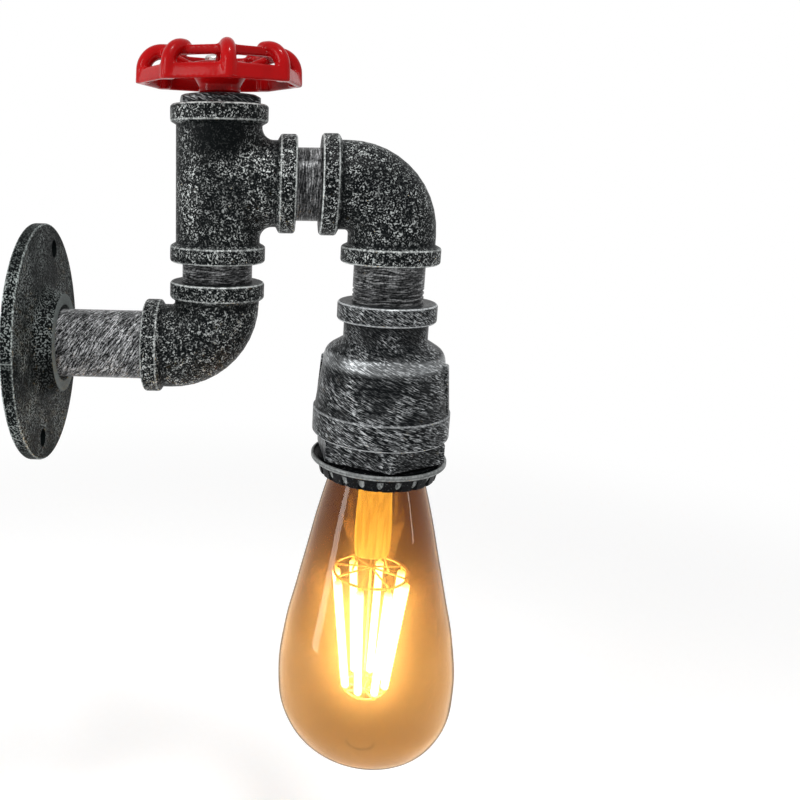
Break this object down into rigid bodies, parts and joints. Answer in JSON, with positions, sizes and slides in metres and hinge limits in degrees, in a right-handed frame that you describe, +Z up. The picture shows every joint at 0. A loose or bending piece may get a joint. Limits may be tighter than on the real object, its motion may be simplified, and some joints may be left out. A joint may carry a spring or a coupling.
{
  "type": "industrial pipe wall light",
  "caption": "Wall light made of threaded pipe fittings with a round flange, a valve handwheel, a bell-shaped lampholder and an amber filament bulb pointing down.",
  "frame": {"origin": "centre of the flange's back face, on the wall", "axes": "+X out of the wall, +Z up, +Y to the right for someone who faces the wall"},
  "size_m": [0.174, 0.0932, 0.2903],
  "materials": {
    "cast_fittings": "black cast surface, grain brushed with silver",
    "flange_iron": "matt black, fine sandy grain",
    "brushed_iron": "black, dry-brushed with silver, satin",
    "steel_pipe": "dark gunmetal with silver streaks, satin",
    "wheel_red": "gloss red enamel",
    "ring_black": "black, worn to silver on its edges",
    "black_plastic": "black moulding",
    "plated_steel": "bright plated",
    "brass": "satin",
    "tin": "soldered",
    "amber_glass": "clear amber",
    "clear_glass": "clear",
    "black_glass": "black vitrite",
    "glowing_bar": "lit filament"
  },
  "bodies": {
    "pipework": {"wall_flange": "flange_iron", "flange_nipple": "steel_pipe", "lower_elbow": "cast_fittings", "stack_nipple": "steel_pipe", "tee": "cast_fittings", "arm_nipple": "steel_pipe", "upper_elbow": "cast_fittings", "drop_nipple": "steel_pipe", "bell_reducer": "brushed_iron", "hex_bushing": "brushed_iron", "holder_body": "black_plastic", "holder_locknut": "plated_steel", "screw_shell": "brass", "contact_tongue": "brass", "terminal_screws": "brass", "top_plug": "cast_fittings", "spindle": "plated_steel", "spindle_washer": "plated_steel"},
    "wheel": {"handwheel": "wheel_red", "wheel_screw": "plated_steel"},
    "bulb_travel": {"bulb_contact": "tin"},
    "bulb": {"bulb_glass": "amber_glass", "bulb_cap": "brass", "bulb_insulator": "black_glass", "bulb_stem": "clear_glass", "upper_carrier": "plated_steel", "lower_carrier": "plated_steel", "filament_bars": "glowing_bar", "cage_post": "plated_steel"},
    "ring_travel": {"ring_washer": "ring_black"},
    "ring": {"shade_ring": "ring_black"}
  },
  "joints": [
    {"name": "wheel_turn", "type": "hinge", "parent": "pipework", "child": "wheel", "pos_m": [0.0718, 0, 0.1], "axis": [0, 0, 1], "continuous": true},
    {"name": "bulb_slide", "type": "slide", "parent": "pipework", "child": "bulb_travel", "axis": [0, 0, -1], "range_m": [0, 0.01448]},
    {"name": "bulb_turn", "type": "hinge", "parent": "bulb_travel", "child": "bulb", "pos_m": [0.1372, 0, -0.03], "axis": [0, 0, -1], "range_deg": [0, 1441]},
    {"name": "ring_slide", "type": "slide", "parent": "pipework", "child": "ring_travel", "axis": [0, 0, -1], "range_m": [0, 0.0025]},
    {"name": "ring_turn", "type": "hinge", "parent": "ring_travel", "child": "ring", "pos_m": [0.1372, 0, -0.045], "axis": [0, 0, -1], "range_deg": [0, 361]}
  ],
  "couplings": [
    {"joint": "bulb_turn", "follows": "bulb_slide", "rad_per_m": 1735.7},
    {"joint": "ring_turn", "follows": "ring_slide", "rad_per_m": 2513.3}
  ]
}
